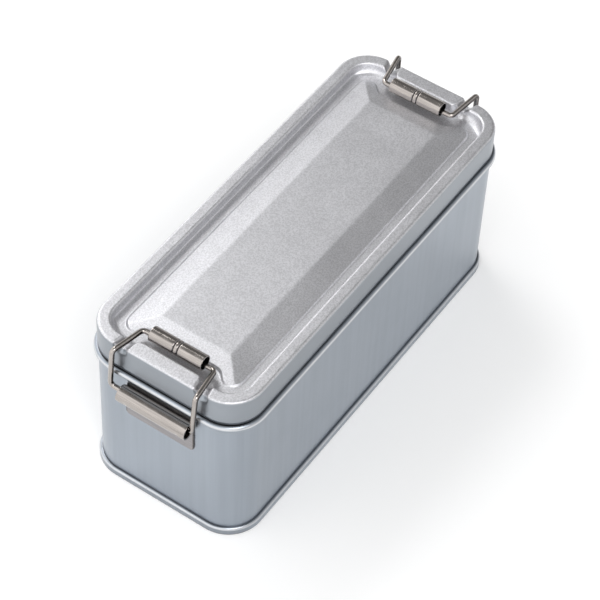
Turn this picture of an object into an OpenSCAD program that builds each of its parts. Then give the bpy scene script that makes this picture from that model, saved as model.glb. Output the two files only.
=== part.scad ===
// Pencil tin: a long tinplate box with a lift-off lid and a wire clasp on each short end.
// The box stands on its bottom seam. X runs along the length, Y across it, Z up.

/* [Tin] */
// Length over the bead, the widest line round the box
tin_length = 150; // [120:1:200]
// Width over the bead
tin_width = 60; // [54:1:80]
// Height from the table to the rim of the lid
lid_top = 65; // [52:1:90]
// Outer corner radius at the bead
corner_r = 12.6; // [11.4:0.2:15]
// Thickness of the tinplate
sheet = 0.4; // [0.3:0.05:0.5]

/* [Wall, bead and seam] */
// How far the wall lies inside the bead
wall_inset = 1.4; // [1.3:0.1:1.8]
// Radius of the half-round bead under the lid
bead_r = 1.35; // [1.2:0.05:1.35]
// Open line between the bead and the lid's lower edge
bead_gap = 0.55; // [0.4:0.05:1]
// Height of the neck that stands up inside the lid
neck_height = 5.9; // [4:0.1:6.4]
// Radius of the curled edge on top of the neck
curl_r = 0.75; // [0.65:0.05:0.9]
// Height of the folded seam round the bottom
seam_height = 3.4; // [2.8:0.1:4.5]
// How far the seam lies inside the bead
seam_inset = 0.3; // [0.2:0.05:0.4]
// Height of the shallow step in the bottom
bottom_step = 0.6; // [0.4:0.1:0.9]
// Distance from the seam to that step
bottom_margin = 6; // [4:0.5:8]

/* [Lid] */
// Depth of the lid's skirt
skirt_depth = 10; // [9:0.5:12]
// Clearance between the neck and the skirt
lid_clearance = 0.3; // [0.3:0.05:0.5]
// Width of the flat rim
rim_width = 4.35; // [4:0.05:4.8]
// Rounding of the rim's outer edge
rim_outer_r = 1; // [0.8:0.1:1.3]
// Rounding of the rim's inner edge
rim_inner_r = 1.4; // [1:0.1:1.6]
// Depth of the groove inside the rim
groove_depth = 4; // [3.6:0.1:4.4]
// Width of the groove along the long sides
groove_side = 3.65; // [3:0.05:4.2]
// Width of the groove at the short ends
groove_end = 4.55; // [4:0.05:5.2]
// Rounding at the foot of the rim's inner wall
groove_r = 0.7; // [0.5:0.1:1]
// Height of the panel's edge above the groove
panel_edge = 0.8; // [0.5:0.1:1.2]
// Rise of the sloping faces from that edge to the flat
panel_rise = 1.3; // [0.8:0.1:1.6]
// Width of the sloping faces along the long sides
slope_side = 8.2; // [6:0.2:10]
// Length of the sloping faces at the short ends
slope_end = 9.2; // [7:0.2:11]
// Corner radius of the raised panel
panel_corner = 4.2; // [3:0.2:5]

/* [Pockets and notches] */
// How far the panel steps back behind each roller
pocket_depth = 3.5; // [2.5:0.1:4]
// Half the width of the pocket's straight back
pocket_half = 11.6; // [10.6:0.1:12]
// Length of the curved shoulder on each side of the pocket
pocket_shoulder = 6; // [5:0.2:6]
// Radius of the notch that each wire crosses the rim in
notch_r = 2.2; // [2:0.05:2.4]
// Depth of the notch
notch_depth = 2; // [1.8:0.1:2.2]
// Depth of the flute that runs the notch out down the skirt
flute_depth = 1.6; // [1:0.1:1.8]
// Length of that flute
flute_run = 3.5; // [3:0.1:3.8]

/* [Wire clasps] */
// Diameter of the wire
wire_d = 1.7; // [1.4:0.1:1.8]
// Half the distance between the wire's elbows beside the roller
elbow_half = 13; // [12.6:0.1:13.4]
// Half the distance between the wire's outer bends
bend_half = 15; // [14.8:0.1:15.4]
// How far the outer bends stand out past the bead
bend_out = 1.6; // [1.4:0.1:2.4]
// Height of the outer bends above the rim
bend_rise = 0.5; // [0.3:0.1:1.6]
// How far the roller lies inside the bead
roller_inset = 10.7; // [10.4:0.1:11]
// Height of the roller's centre above the rim
roller_rise = 0.4; // [0.4:0.1:0.9]
// How far the wire lies below the roller's centre
wire_sag = 0.7; // [0:0.1:0.7]
// Radius of the elbows
elbow_bend_r = 1.5; // [1.2:0.1:1.8]
// Radius of the outer bends
outer_bend_r = 1.3; // [1:0.1:1.6]
// Radius of the bends into the hinge tube
foot_bend_r = 1.7; // [1.2:0.1:1.8]
// Length of wire inside each end of the hinge tube
stub_length = 3.2; // [2.4:0.1:5]
// Sideways play taken up by the clasp on the left end
left_shift = 1.3; // [0:0.1:1.3]
// Sideways play taken up by the clasp on the right end
right_shift = 0; // [0:0.1:1.3]

/* [Rollers] */
// Outer diameter of the rolled sleeve on the wire
roller_d = 5; // [4.4:0.1:5]
// Length of the sleeve
roller_length = 19; // [16:0.5:20]
// Thickness of the sleeve
roller_sheet = 0.4; // [0.3:0.05:0.5]
// Distance between the two crimped lines in the middle
crimp_spacing = 1.5; // [1.2:0.1:2.5]
// Radius of each crimped line
crimp_r = 0.2; // [0.15:0.05:0.25]
// Width of the seam left open along the sleeve
sleeve_seam = 0.3; // [0.2:0.05:0.5]

/* [Hinge plates] */
// Outer diameter of the rolled hinge tube
tube_d = 5.6; // [5:0.1:5.8]
// Length of the hinge tube and plate
tube_length = 25; // [22:0.5:25.2]
// Thickness of the plate
plate_sheet = 0.5; // [0.4:0.05:0.6]
// Height of the tube's centre below the bead's centre
tube_drop = 5.5; // [5.4:0.1:6.5]
// Length of the flat plate below the tube's centre
plate_drop = 12; // [9:0.5:16]
// Corner radius of the plate's lower corners
plate_corner = 1.5; // [0.8:0.1:3]
// Opening left between the end of the roll and the plate, in degrees
roll_opening = 30; // [20:1:50]
// Distance of the two stake marks from the plate's middle
stake_half = 9.4; // [6:0.2:10]
// Depth of the stake marks
stake_depth = 0.2; // [0.1:0.05:0.25]
// Running play above the wire inside the tube
tube_play = 0.3; // [0.3:0.05:0.5]

/* [Hidden] */
$fn = 48;

tin_color = [0.66, 0.69, 0.73];
lid_color = [0.76, 0.76, 0.78];
steel_color = [0.80, 0.76, 0.74];
wire_color = [0.72, 0.70, 0.69];

// A small overlap that lets cutters pass right through a face
eps = 0.01;
// Gap that keeps welded or folded sheets just apart
seat_gap = 0.02;
// Swelling and half length of the blend where a straight wire meets a bend
blend_gap = 0.02;
blend_half = 0.1;

half_l = tin_length / 2;
half_w = tin_width / 2;

// Heights
skirt_z = lid_top - skirt_depth;
bead_z = skirt_z - bead_gap - bead_r;
neck_z = skirt_z + neck_height;
floor_z = lid_top - groove_depth;
edge_z = floor_z + panel_edge;
flat_z = edge_z + panel_rise;

// Offsets from the bead's outline: negative is inward
wall_u = -wall_inset;
lid_u = -(wall_inset - 0.2);
neck_u = lid_u - sheet - lid_clearance;
rim_in_u = lid_u - rim_width;
seam_u = -seam_inset;
seam_fold_z = 0.85;
fold_gap = 0.05;
inner_fold_u = wall_u - sheet - fold_gap;
bottom_z = seam_height - 0.5 - sheet;

// Raised panel
rim_in_x = half_l + rim_in_u;
rim_in_y = half_w + rim_in_u;
panel_x = rim_in_x - groove_end;
panel_y = rim_in_y - groove_side;
shoulder_r = (pow(pocket_shoulder, 2) + pow(pocket_depth, 2)) / (4 * pocket_depth);

// Clasp geometry, measured from the middle of the box
wire_r = wire_d / 2;
roller_r = roller_d / 2;
tube_r = tube_d / 2;
plate_x = half_l + wall_u + seat_gap;
tube_x = plate_x + tube_r;
tube_z = bead_z - tube_drop;
pivot_x = tube_x;
pivot_z = tube_z + tube_r - plate_sheet - wire_r - tube_play;
roller_x = half_l - roller_inset;
roller_z = lid_top + roller_rise;
elbow_z = roller_z - wire_sag;
bend_x = half_l + bend_out;
bend_z = lid_top + bend_rise;

// Notches follow the wire across the rim
notch_x = half_l + lid_u - rim_width / 2;
notch_t = (notch_x - roller_x) / (bend_x - roller_x);
notch_y = elbow_half + (bend_half - elbow_half) * notch_t;
splay = atan((bend_half - elbow_half) / (bend_x - roller_x));

// A profile carried round the four sides and four corners of a rounded rectangle.
// In the profile, x is the distance outward from the outline and y is the height.
module sweep_round(hx, hy, r) {
    for (q = [[1, 1, 0], [-1, 1, 90], [-1, -1, 180], [1, -1, 270]]) {
        translate([q[0] * (hx - r), q[1] * (hy - r), 0])
            rotate([0, 0, q[2]])
                rotate_extrude(angle = 90)
                    translate([r, 0])
                        children();
    }
    for (a = [0, 180]) {
        rotate([0, 0, a])
            translate([0, hy, 0])
                rotate([90, 0, 90])
                    linear_extrude(height = 2 * (hx - r), center = true)
                        children();
        rotate([0, 0, a])
            translate([hx, 0, 0])
                rotate([90, 0, 0])
                    linear_extrude(height = 2 * (hy - r), center = true)
                        children();
    }
}

// A rounded rectangle, u outside the bead's outline
module outline(u) {
    rounded(half_l + u, half_w + u, corner_r + u);
}

module rounded(hx, hy, r) {
    square([2 * hx, 2 * (hy - r)], center = true);
    square([2 * (hx - r), 2 * hy], center = true);
    for (sx = [-1, 1], sy = [-1, 1]) {
        translate([sx * (hx - r), sy * (hy - r)])
            circle(r = r);
    }
}

module plate_at(z, h) {
    translate([0, 0, z])
        linear_extrude(height = h)
            children();
}

module box2(x0, x1, y0, y1) {
    translate([x0, y0])
        square([x1 - x0, y1 - y0]);
}

// A box profile with two rounded upper corners
module hat(x0, x1, y0, y1, r0, r1) {
    box2(x0, x1, y0, y1 - max(r0, r1));
    box2(x0 + r0, x1 - r1, y0, y1);
    box2(x0, x0 + r0, y0, y1 - r0);
    box2(x1 - r1, x1, y0, y1 - r1);
    translate([x0 + r0, y1 - r0])
        circle(r = r0);
    translate([x1 - r1, y1 - r1])
        circle(r = r1);
}

// Body wall: tinplate wall, half-round bead, stepped neck and curled edge

module wall_profile() {
    // Flat wall
    box2(wall_u - sheet, wall_u, seam_fold_z + fold_gap, bead_z - bead_r + sheet);
    // Bead, open to the inside
    difference() {
        translate([-bead_r, bead_z])
            circle(r = bead_r);
        translate([-bead_r, bead_z])
            circle(r = bead_r - sheet);
        box2(-2 * bead_r - 1, -bead_r, bead_z - bead_r - 1, bead_z + bead_r + 1);
    }
    box2(wall_u - sheet, -bead_r, bead_z - bead_r, bead_z - bead_r + sheet);
    // Shoulder and neck
    box2(neck_u - sheet, -bead_r, bead_z + bead_r - sheet, bead_z + bead_r);
    box2(neck_u - sheet, neck_u, bead_z + bead_r - sheet, neck_z - curl_r);
    // Curl rolled inward, with its cut edge left open below
    difference() {
        translate([neck_u - curl_r, neck_z - curl_r])
            circle(r = curl_r);
        translate([neck_u - curl_r, neck_z - curl_r])
            circle(r = curl_r - sheet * 0.85);
        box2(neck_u - curl_r, neck_u + 1, neck_z - 2 * curl_r - 1, neck_z - curl_r);
    }
}

module body_wall() {
    color(tin_color)
        sweep_round(half_l, half_w, corner_r)
            wall_profile();
}

// Bottom panel: recessed floor folded round the foot of the wall

module seam_profile() {
    fold_w = seam_u - (wall_u + fold_gap);
    lip_r = fold_w / 2;
    foot_r = seam_fold_z / 2;
    // Outer fold with a rounded lip
    box2(wall_u + fold_gap, seam_u, foot_r, seam_height - lip_r);
    translate([seam_u - lip_r, seam_height - lip_r])
        circle(r = lip_r);
    // Rounded foot that the tin stands on
    box2(inner_fold_u - sheet + foot_r, seam_u - foot_r, 0, seam_fold_z);
    box2(inner_fold_u - sheet, seam_u, foot_r, seam_fold_z);
    for (u = [inner_fold_u - sheet + foot_r, seam_u - foot_r]) {
        translate([u, foot_r])
            circle(r = foot_r);
    }
    // Inner wall of the fold
    box2(inner_fold_u - sheet, inner_fold_u, foot_r, bottom_z + sheet);
}

module bottom_panel() {
    step_u = inner_fold_u - bottom_margin;
    color(tin_color) {
        sweep_round(half_l, half_w, corner_r)
            seam_profile();
        difference() {
            union() {
                plate_at(bottom_z, sheet)
                    outline(inner_fold_u - sheet / 2);
                plate_at(bottom_z, bottom_step + sheet)
                    outline(step_u);
            }
            plate_at(bottom_z - eps, bottom_step + eps)
                outline(step_u - sheet);
        }
    }
}

// Lid: skirt, rim, groove and raised panel, pressed from one sheet

// The hollow behind a roller, seen from above; inset moves the panel's edge inward
module pocket_outline(inset) {
    far_x = panel_x + 5;
    back_x = panel_x - pocket_depth - inset;
    in_y = pocket_half;
    out_y = pocket_half + pocket_shoulder;
    convex = [panel_x - shoulder_r, out_y];
    hollow = [panel_x - pocket_depth + shoulder_r, in_y];
    t = (shoulder_r - inset) / (2 * shoulder_r);
    meet_x = convex[0] + (hollow[0] - convex[0]) * t;
    box2(back_x, far_x, -in_y, in_y);
    for (s = [0, 1]) {
        mirror([0, s]) {
            translate(hollow)
                circle(r = shoulder_r + inset);
            difference() {
                box2(meet_x, far_x, in_y - 1, out_y);
                translate(convex)
                    circle(r = shoulder_r - inset);
            }
        }
    }
}

module panel_outline(inset) {
    difference() {
        rounded(panel_x - inset, panel_y - inset, panel_corner - inset);
        for (s = [0, 1]) {
            mirror([s, 0])
                pocket_outline(inset);
        }
    }
}

// Half section of the sloping faces: an outer edge, a slope and a flat
module roof_profile(half, slope, drop) {
    low = floor_z - 2;
    polygon([
        [-half - 1, low], [half + 1, low],
        [half + 1, edge_z - panel_rise / slope - drop],
        [half, edge_z - drop],
        [half - slope, flat_z - drop],
        [slope - half, flat_z - drop],
        [-half, edge_z - drop],
        [-half - 1, edge_z - panel_rise / slope - drop]
    ]);
}

module panel_block(inset, low_z) {
    intersection() {
        plate_at(low_z, flat_z - low_z + 1)
            panel_outline(inset);
        rotate([90, 0, 90])
            linear_extrude(height = tin_length, center = true)
                roof_profile(panel_y, slope_side, inset);
        rotate([90, 0, 0])
            linear_extrude(height = tin_width, center = true)
                roof_profile(panel_x, slope_end, inset);
    }
}

module rim_solid() {
    hat(rim_in_u, lid_u, skirt_z, lid_top, rim_inner_r, rim_outer_r);
}

module rim_sheet() {
    difference() {
        rim_solid();
        hat(rim_in_u + sheet, lid_u - sheet, skirt_z - 1, lid_top - sheet,
            rim_inner_r - sheet, rim_outer_r - sheet);
        box2(rim_in_u - 1, rim_in_u + sheet + eps, skirt_z - 1, floor_z - sheet);
    }
    // Rounding at the foot of the inner wall
    difference() {
        box2(rim_in_u - groove_r, rim_in_u + eps, floor_z - eps, floor_z + groove_r);
        translate([rim_in_u - groove_r, floor_z + groove_r])
            circle(r = groove_r);
    }
}

// One notch: a trough across the rim that runs out as a flute down the skirt
module notch_cut(r) {
    reach = rim_width + 3;
    translate([notch_x, notch_y, lid_top + notch_r - notch_depth])
        rotate([0, 90, splay])
            cylinder(r = r, h = reach, center = true);
    lean = atan(flute_depth / flute_run);
    skirt_x = half_l + lid_u;
    skirt_y = notch_y + (skirt_x - notch_x) * tan(splay);
    translate([skirt_x + notch_r, skirt_y, lid_top - flute_run])
        rotate([0, -lean, 0])
            translate([0, 0, -flute_run])
                cylinder(r = r, h = 3 * flute_run);
}

module each_notch() {
    for (sx = [0, 1], sy = [0, 1]) {
        mirror([sx, 0, 0])
            mirror([0, sy, 0])
                children();
    }
}

module lid() {
    color(lid_color) {
        difference() {
            sweep_round(half_l, half_w, corner_r)
                rim_sheet();
            each_notch()
                notch_cut(notch_r);
        }
        difference() {
            intersection() {
                each_notch()
                    notch_cut(notch_r + sheet);
                sweep_round(half_l, half_w, corner_r)
                    rim_solid();
            }
            each_notch()
                notch_cut(notch_r);
            plate_at(skirt_z - 1, floor_z - sheet - skirt_z + 1)
                outline(lid_u - sheet);
        }
        difference() {
            union() {
                plate_at(floor_z - sheet, sheet)
                    outline(rim_in_u + sheet / 2);
                panel_block(0, floor_z - sheet);
            }
            panel_block(sheet, floor_z - sheet - 1);
        }
    }
}

// Hinge plates: a strip welded to the end wall and rolled into a tube at its top

module hinge_profile() {
    roll_in = tube_r - plate_sheet;
    // Roll, seen along the tube, with the wall at x = 0
    difference() {
        translate([tube_r, 0])
            circle(r = tube_r);
        translate([tube_r, 0])
            circle(r = roll_in);
        translate([tube_r, 0])
            polygon([
                [0, 0],
                [-2 * tube_r, 0],
                [-2 * tube_r, -2 * tube_r * tan(roll_opening)]
            ]);
    }
    box2(0, plate_sheet, -plate_drop + plate_corner, 0);
}

module hinge_plate() {
    half = tube_length / 2;
    translate([plate_x, 0, tube_z]) {
        difference() {
            union() {
                rotate([90, 0, 0])
                    linear_extrude(height = tube_length, center = true)
                        hinge_profile();
                // Lower edge with rounded corners
                rotate([90, 0, 90])
                    linear_extrude(height = plate_sheet)
                        intersection() {
                            rounded(half, plate_drop, plate_corner);
                            box2(-half, half, -plate_drop, -plate_drop + plate_corner + 1);
                        }
            }
            for (s = [-1, 1]) {
                translate([2 * tube_r + notch_r - stake_depth, s * stake_half, 0])
                    sphere(r = notch_r);
            }
        }
    }
}

module left_hinge_plate() {
    color(steel_color)
        mirror([1, 0, 0])
            hinge_plate();
}

module right_hinge_plate() {
    color(steel_color)
        hinge_plate();
}

// Wire clasps: round wire bent through rounded corners, in one unbroken run

function unit(v) = v / norm(v);
function turn(p, i) = acos(unit(p[i] - p[i - 1]) * unit(p[i + 1] - p[i]));
function trim(p, r, i) = i == 0 || i == len(p) - 1 ? 0 : r[i] * tan(turn(p, i) / 2);

module wire_straight(a, b, r) {
    d = b - a;
    translate(a)
        rotate([0, acos(d[2] / norm(d)), atan2(d[1], d[0])])
            cylinder(r = r, h = norm(d));
}

module wire_bend(p, r, i) {
    a = unit(p[i] - p[i - 1]);
    b = unit(p[i + 1] - p[i]);
    n = unit(b - a * (a * b));
    z = cross(-n, a);
    c = p[i] - a * trim(p, r, i) + n * r[i];
    multmatrix([
        [-n[0], a[0], z[0], c[0]],
        [-n[1], a[1], z[1], c[1]],
        [-n[2], a[2], z[2], c[2]],
        [0, 0, 0, 1]
    ])
        rotate_extrude(angle = turn(p, i))
            translate([r[i], 0])
                circle(r = wire_r);
}

module wire_path(p, r) {
    last = len(p) - 1;
    for (i = [1 : last]) {
        d = unit(p[i] - p[i - 1]);
        a = p[i - 1] + d * trim(p, r, i - 1);
        b = p[i] - d * trim(p, r, i);
        wire_straight(a + d * (i == 1 ? 0 : blend_gap), b - d * (i == last ? 0 : blend_gap), wire_r);
        // A hair's breadth of swelling carries each straight into its bend
        if (i > 1) wire_straight(a - d * blend_half, a + d * blend_half, wire_r + blend_gap);
        if (i < last) wire_straight(b - d * blend_half, b + d * blend_half, wire_r + blend_gap);
    }
    for (i = [1 : last - 1]) {
        wire_bend(p, r, i);
    }
}

module bail(shift) {
    foot_half = bend_half;
    end_y = tube_length / 2 - stub_length;
    wire_path(
        [
            [pivot_x, end_y, pivot_z],
            [pivot_x, foot_half + shift, pivot_z],
            [bend_x, bend_half, bend_z],
            [roller_x, elbow_half, elbow_z],
            [roller_x, -elbow_half, elbow_z],
            [bend_x, -bend_half, bend_z],
            [pivot_x, shift - foot_half, pivot_z],
            [pivot_x, -end_y, pivot_z]
        ],
        [0, foot_bend_r, outer_bend_r, elbow_bend_r, elbow_bend_r, outer_bend_r, foot_bend_r, 0]
    );
}

module left_bail() {
    color(wire_color)
        mirror([1, 0, 0])
            bail(left_shift);
}

module right_bail() {
    color(wire_color)
        bail(right_shift);
}

// Rollers: a rolled sleeve that turns on the wire, with two crimped lines

module roller() {
    half = roller_length / 2;
    bore_r = roller_r - roller_sheet;
    translate([roller_x, 0, roller_z])
        rotate([90, 0, 0])
            difference() {
                rotate_extrude()
                    difference() {
                        union() {
                            box2(bore_r, roller_r, -half, half);
                            // The crimps push the sleeve inward as well
                            for (s = [-1, 1]) {
                                translate([bore_r, s * crimp_spacing / 2])
                                    circle(r = crimp_r);
                            }
                        }
                        for (s = [-1, 1]) {
                            translate([roller_r, s * crimp_spacing / 2])
                                circle(r = crimp_r);
                        }
                    }
                // The seam lies underneath
                translate([0, -roller_r, 0])
                    cube([sleeve_seam, roller_r * 1.6, roller_length + 1], center = true);
            }
}

module left_roller() {
    color(steel_color)
        mirror([1, 0, 0])
            roller();
}

module right_roller() {
    color(steel_color)
        roller();
}

body_wall();
bottom_panel();
lid();
left_hinge_plate();
right_hinge_plate();
left_bail();
right_bail();
left_roller();
right_roller();
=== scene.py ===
"""Looks for a silver pencil tin: satin lid, drawn walls, bright wire clasps and a plain studio."""

import math

import bmesh
import bpy
import numpy as np
from mathutils import Matrix, Vector


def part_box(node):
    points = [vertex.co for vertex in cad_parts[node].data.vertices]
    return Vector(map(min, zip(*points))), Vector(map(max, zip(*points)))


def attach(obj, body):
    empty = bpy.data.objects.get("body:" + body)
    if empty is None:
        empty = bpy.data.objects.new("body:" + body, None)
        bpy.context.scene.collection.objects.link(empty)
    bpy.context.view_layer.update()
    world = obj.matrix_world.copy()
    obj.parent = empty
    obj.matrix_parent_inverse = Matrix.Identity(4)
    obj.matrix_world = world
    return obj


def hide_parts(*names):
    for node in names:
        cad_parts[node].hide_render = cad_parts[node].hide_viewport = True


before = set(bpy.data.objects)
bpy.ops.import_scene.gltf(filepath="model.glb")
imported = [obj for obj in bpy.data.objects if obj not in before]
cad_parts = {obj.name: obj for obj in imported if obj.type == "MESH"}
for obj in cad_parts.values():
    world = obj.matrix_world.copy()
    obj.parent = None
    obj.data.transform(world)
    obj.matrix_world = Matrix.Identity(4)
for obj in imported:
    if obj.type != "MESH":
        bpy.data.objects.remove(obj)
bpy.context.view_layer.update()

bl_info = {
    "name": "Pencil Tin",
    "version": (1, 0, 0),
    "blender": (4, 5, 0),
    "location": "View3D > Sidebar > Pencil Tin",
    "description": "Dresses a rounded tinplate box with a pressed lid and two wire clasps",
    "category": "Object",
}

MM = 0.001
ZONE = "zone"  # the attribute by which a finish paints highlight and shade on each vertex, and finds the lid's skirt
WELD = 0.02 * MM
WALL_COLUMNS = {"side_step": 2.6 * MM, "end_step": 2.2 * MM, "corner_steps": 24}
LID_COLUMNS = {"side_step": 0.9 * MM, "end_step": 0.3 * MM, "corner_steps": 30}
LID_LOW, LID_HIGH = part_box("lid")
WALL_LOW, WALL_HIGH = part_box("body_wall")
PLATE_LOW, PLATE_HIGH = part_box("right_hinge_plate")
ROLLER_LOW, ROLLER_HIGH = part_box("right_roller")


def amount(name, text, default, **kind):
    """A value from 0 up for the panel."""
    return bpy.props.FloatProperty(name=name, description=text, default=default, min=0.0, **kind)


def length(name, text, default):
    """A size in metres for the panel."""
    return amount(name, text, default, unit="LENGTH", subtype="DISTANCE")


def colour(name, text, default):
    """A colour for the panel."""
    return bpy.props.FloatVectorProperty(
        name=name, description=text, default=default, size=3, min=0.0, max=1.0, subtype="COLOR"
    )


def factor(name, text, default):
    """A share from 0 to 1 for the panel."""
    return amount(name, text, default, max=1.0, subtype="FACTOR")


class TinWallSizes(bpy.types.PropertyGroup):
    """Sizes of the wall, bead, neck and curl"""

    corner: length("Bead corner", "Corner radius of the bead", 12.6 * MM)
    inset: length("Wall inset", "How far the wall lies inside the bead", 1.4 * MM)
    bead: length("Bead radius", "Radius of the half-round bead", 1.25 * MM)
    bead_gap: length("Bead gap", "Open line between bead and lid", 0.5 * MM)
    neck_inset: length("Neck inset", "How far the neck lies inside the bead", 1.9 * MM)
    curl: length("Curl radius", "Radius of the curled edge", 0.75 * MM)
    foot: length("Wall foot", "Height at which the wall meets the bottom seam", 0.9 * MM)
    sheet: length("Sheet", "Thickness of the tinplate", 0.4 * MM)
    seam: length("Seam height", "Height of the folded seam round the bottom", 3.05 * MM)
    seam_inset: length("Seam inset", "How far the seam lies inside the bead", 0.35 * MM)
    lip: length("Seam lip", "Rounding of the seam's upper lip", 0.92 * MM)
    fold: length("Seam fold", "Rounding of the fold that the tin stands on", 0.42 * MM)
    fold_width: length("Fold width", "Width of the folded seam, from its face inward", 2.0 * MM)
    recess: length("Recess", "How far the bottom lies above the table", 2.5 * MM)
    step: length("Bottom step", "Height of the step pressed in the bottom", 0.6 * MM)
    step_margin: length("Step margin", "Distance from the seam to the pressed step", 6.0 * MM)
    under_bead: length("Under the bead", "Height over which the wall runs into the bead", 0.3 * MM)


class TinLidSizes(bpy.types.PropertyGroup):
    """Sizes of the pressed lid"""

    inset: length("Lid inset", "How far the skirt lies inside the bead", 1.2 * MM)
    rim: length("Rim width", "Width of the flat rim", 4.35 * MM)
    outer: length("Outer rounding", "Rounding of the rim's outer edge", 1.0 * MM)
    inner: length("Inner rounding", "Rounding of the rim's inner edge", 0.8 * MM)
    foot: length("Foot rounding", "Rounding at the foot of the groove's outer wall", 0.5 * MM)
    foot_corner: length("Corner foot", "That rounding in the four corners, up to the wires", 2.3 * MM)
    groove: length("Groove depth", "Depth of the groove inside the rim", 3.6 * MM)
    groove_side: length("Side groove", "Width of the groove along the sides", 3.65 * MM)
    groove_end: length("End groove", "Width of the groove at the ends", 4.55 * MM)
    edge: length("Panel edge", "Height of the panel's edge above the groove", 0.4 * MM)
    rise: length("Panel rise", "Rise of the sloping faces", 1.3 * MM)
    slope_side: length("Side slope", "Width of the sloping faces along the sides", 8.2 * MM)
    slope_end: length("End slope", "Length of the sloping faces at the ends", 9.2 * MM)
    corner: length("Panel corner", "Corner radius of the raised panel", 4.2 * MM)
    pocket: length("Pocket depth", "How far the panel steps back behind a roller", 3.5 * MM)
    pocket_half: length("Pocket half", "Half the width of the pocket's back", 11.6 * MM)
    shoulder: length("Pocket shoulder", "Length of the curved shoulder", 6.0 * MM)
    tongue: length("Rim tongue", "How much wider the rim is between the wires", 1.2 * MM)
    tongue_half: length("Tongue half width", "Half the length of that wider part", 10.4 * MM)
    notch_half: length("Notch half width", "Half the width of a notch with its lips", 2.7 * MM)
    notch_depth: length("Notch depth", "Depth of a notch in the rim", 2.0 * MM)
    notch_run: length("Notch run", "How far a notch reaches in past the middle of the rim", 4.5 * MM)
    flute: length("Flute depth", "Depth of the flute under a notch", 1.3 * MM)
    panel_foot: length("Panel foot", "Half the width of the rounded step at the panel's edge", 0.38 * MM)
    crease: length("Crease", "Rounding of the creases between the sloping faces", 0.09 * MM)


class TinClaspSizes(bpy.types.PropertyGroup):
    """Sizes of the wire clasps, rollers and hinge tubes"""

    wire: length("Wire", "Diameter of the wire", 1.7 * MM)
    elbow_half: length("Elbow half", "Half the distance between the elbows", 13.0 * MM)
    bend_half: length("Bend half", "Half the distance between the outer bends", 15.0 * MM)
    bend_out: length("Bend reach", "How far the outer bends stand out past the bead", 1.6 * MM)
    bend_rise: length("Bend rise", "Height of the outer bends above the rim", 0.5 * MM)
    foot_bend: length("Foot bend", "Rounding of the wire beside the hinge tube", 1.7 * MM)
    outer_bend: length("Outer bend", "Rounding of the wire at its outer bends", 1.3 * MM)
    elbow_bend: length("Elbow bend", "Rounding of the wire beside the roller", 1.5 * MM)
    sag: length("Wire sag", "How far the wire lies below the roller's centre", 0.9 * MM)
    left_shift: length("Left shift", "Sideways play taken up by the left clasp", 1.3 * MM)
    roller_sheet: length("Roller sheet", "Thickness of the rolled sleeve", 0.4 * MM)
    crimp_step: length("Crimp step", "Distance between the two crimped lines", 1.5 * MM)
    crimp: length("Crimp depth", "Depth of each crimped line", 0.3 * MM)
    crimp_width: length("Crimp width", "Half the width of each crimped line", 0.24 * MM)
    roller_end: length("Roller end", "Rounding of the roller's ends", 0.15 * MM)
    tube: length("Tube", "Outer diameter of the rolled hinge tube", 5.6 * MM)
    plate_sheet: length("Plate sheet", "Thickness of the hinge plate", 0.5 * MM)
    plate_drop: length("Plate drop", "Length of the plate below the tube's centre", 12.0 * MM)
    plate_corner: length("Plate corner", "Rounding of the plate's two lower corners", 1.5 * MM)
    plate_edge: length("Plate edge", "Rounding of the plate's cut edges", 0.12 * MM)
    stake_half: length("Stake half", "Half the distance between the plate's two staked dents", 9.4 * MM)
    stake_depth: length("Stake depth", "Depth of a staked dent", 0.2 * MM)
    stake_width: length("Stake width", "Radius of a staked dent", 0.9 * MM)
    play: length("Tube play", "Play above the wire in the tube", 0.3 * MM)
    stub: length("Stub", "Length of wire inside each end of the tube", 3.2 * MM)


class TinFinish(bpy.types.PropertyGroup):
    """Colours and gloss of the finishes"""

    lid: colour("Lid", "Grained satin silver of the lid", (0.71, 0.71, 0.735))
    # The skirt is plain tinplate; its tone is also painted darker than the lid's top, as painted shade on
    # the upright sheet
    skirt: colour("Skirt", "Plain tinplate of the lid's skirt", (0.307, 0.331, 0.36))
    wall: colour("Wall", "Smooth satin tinplate of the wall", (0.33, 0.364, 0.407))
    # Bright edges and shaded gaps are a painted highlight and painted shade, laid on by the zone
    bright: colour("Bright edges", "Tinplate where bead and seam are rubbed bright", (0.62, 0.63, 0.65))
    shade: colour("Shaded gaps", "Dull tinplate deep in the gaps", (0.17, 0.17, 0.18))
    clasp: colour("Clasp", "Warm nickel of the clasps", (0.41, 0.378, 0.355))
    # The plates' duller tone is painted shade on the upright plate, beside the brighter tube of the same
    # sheet
    plate: colour("Plate", "Duller nickel of the hinge plates", (0.29, 0.276, 0.28))
    # Painted shade: a dark tone laid in the rollers' crimps and bores, on the wires' flanks and along the
    # plates' cut edges
    tarnish: colour("Tarnish", "Dark tarnish in the creases of the clasps", (0.06, 0.05, 0.045))
    lid_gloss: factor("Lid roughness", "Roughness of the lid", 0.46)
    wall_gloss: factor("Wall roughness", "Roughness of the wall", 0.3)
    clasp_gloss: factor("Clasp roughness", "Roughness of the nickel", 0.14)


class TinStudio(bpy.types.PropertyGroup):
    """The plain studio round the tin"""

    floor: colour("Floor", "Colour of the floor", (0.93, 0.93, 0.93))
    lift: factor("Floor lift", "Extra white that the camera and the metal see in the floor", 0.12)
    bright: amount("Room", "Brightness of the pale room", 1.15)
    dim: amount("Ceiling", "Share of that brightness left on the grey ceiling", 0.24)
    key: amount("Key light", "Power of the soft key light", 2.8, subtype="POWER")
    fill: amount("Front fill", "Power of the large fill beside the camera", 9.0, subtype="POWER")


PROPERTY_GROUPS = {
    "tin_wall_sizes": TinWallSizes,
    "tin_lid_sizes": TinLidSizes,
    "tin_clasp_sizes": TinClaspSizes,
    "tin_finish": TinFinish,
    "tin_studio": TinStudio,
}


# Shapes


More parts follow.
